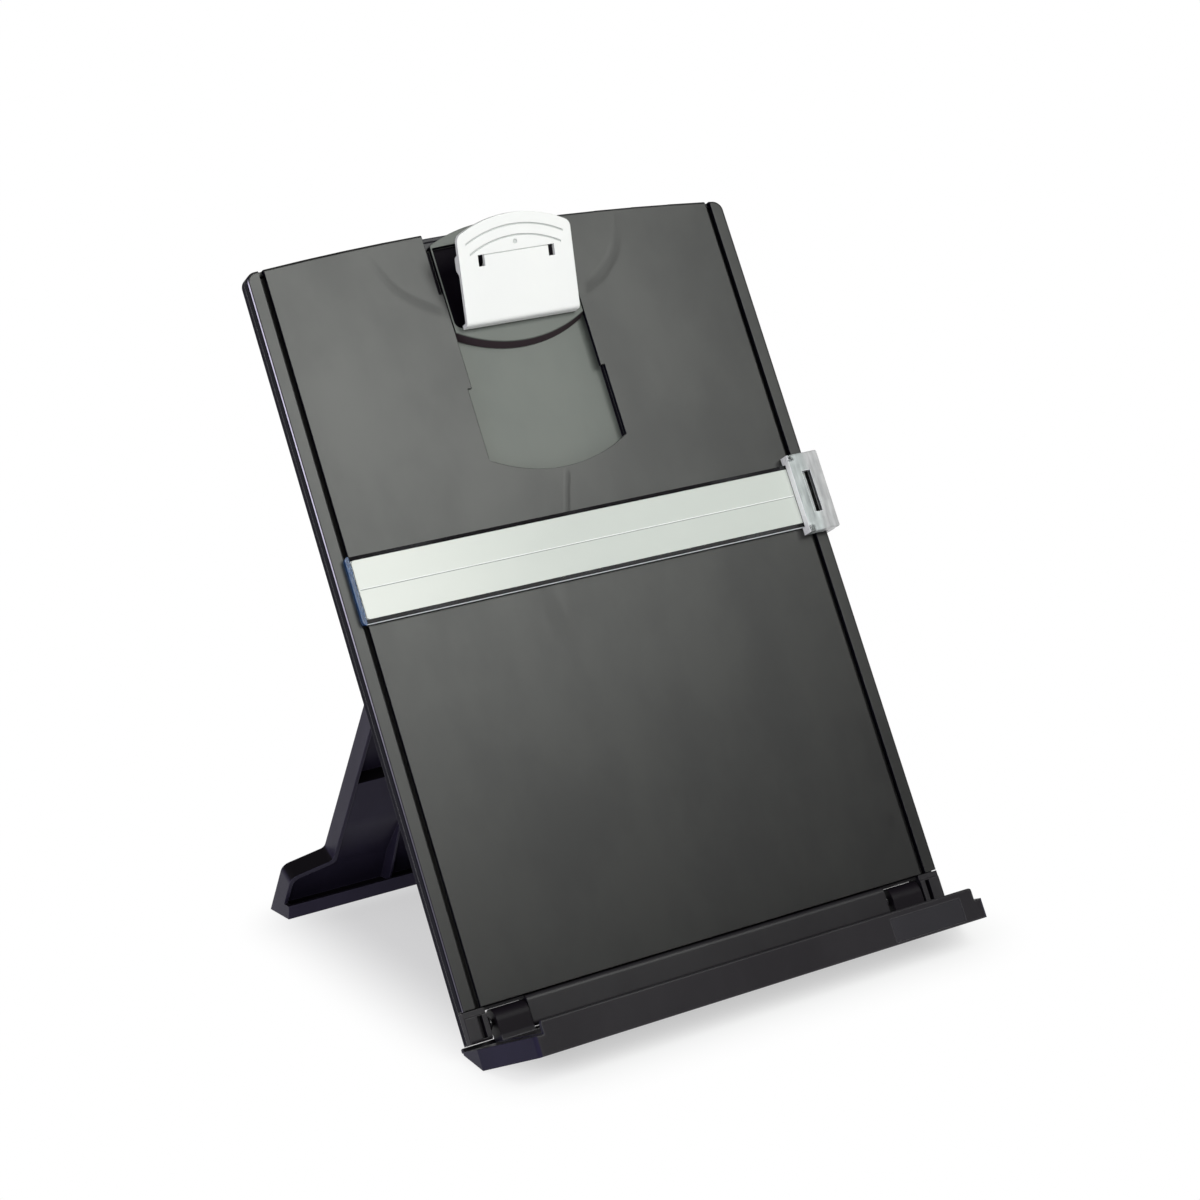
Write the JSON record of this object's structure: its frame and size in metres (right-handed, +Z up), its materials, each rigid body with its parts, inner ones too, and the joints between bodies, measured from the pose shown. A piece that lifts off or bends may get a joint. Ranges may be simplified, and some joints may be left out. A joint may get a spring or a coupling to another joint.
{
  "type": "desk copy holder",
  "caption": "Leaning desk copy holder: arched board with a sliding white clip, a clear line guide on side grooves, a folding ledge and a folding ribbed leg.",
  "frame": {"origin": "on the desk plane, under the middle of the whole object's bounding box", "axes": "+Z up, -Y towards the reader, +X to the reader's right"},
  "size_m": [0.2404, 0.2684, 0.3232],
  "materials": {
    "board_plastic": "fine spark-eroded satin",
    "cover_plastic": "satin",
    "track_plastic": "smooth satin",
    "slider_plastic": "satin",
    "lever_plastic": "smooth",
    "clear_plastic": "clear, polished",
    "film": "frosted",
    "ledge_plastic": "satin",
    "leg_plastic": "satin",
    "label": "smooth",
    "bush_plastic": "smooth",
    "steel": "bright",
    "spring_steel": "bright",
    "rubber": "matte"
  },
  "bodies": {
    "board": {"front_panel": "board_plastic", "back_cover": "cover_plastic", "cover_screws": "steel", "slide_track": "track_plastic", "bottom_rail": "board_plastic", "ledge_pins": "steel", "ledge_washers": "spring_steel", "leg_pin": "steel"},
    "slider": {"clip_slider": "slider_plastic", "slider_brake": "spring_steel", "clip_pin": "steel", "clip_spring": "spring_steel"},
    "lever": {"clip_lever": "lever_plastic"},
    "guide": {"guide_bar": "clear_plastic", "guide_film": "film", "guide_runner": "clear_plastic", "guide_clamp": "clear_plastic", "guide_brake": "spring_steel"},
    "ledge": {"ledge_tray": "ledge_plastic", "ledge_feet": "rubber", "label_plate": "label"},
    "leg": {"leg": "leg_plastic", "leg_feet": "rubber", "leg_bushes": "bush_plastic"}
  },
  "joints": [
    {"name": "clip_slide", "type": "slide", "parent": "board", "child": "slider", "axis": [0, 0.4305, 0.9026], "range_m": [-0.057, 0.01]},
    {"name": "clip_press", "type": "hinge", "parent": "slider", "child": "lever", "pos_m": [-0.0014, 0.03964, 0.29771], "axis": [-1, 0, 0], "range_deg": [0, 20], "stiffness_Nm_per_rad": 0.15, "springref_deg": -11.46},
    {"name": "guide_slide", "type": "slide", "parent": "board", "child": "guide", "axis": [0, 0.4305, 0.9026], "range_m": [-0.117, 0.027]},
    {"name": "ledge_fold", "type": "hinge", "parent": "board", "child": "ledge", "pos_m": [-0.0014, -0.08333, 0.01202], "axis": [-1, 0, 0], "range_deg": [0, 88]},
    {"name": "leg_fold", "type": "hinge", "parent": "board", "child": "leg", "pos_m": [-0.0014, 0.02265, 0.21563], "axis": [-1, 0, 0], "range_deg": [0, 49.7]}
  ]
}
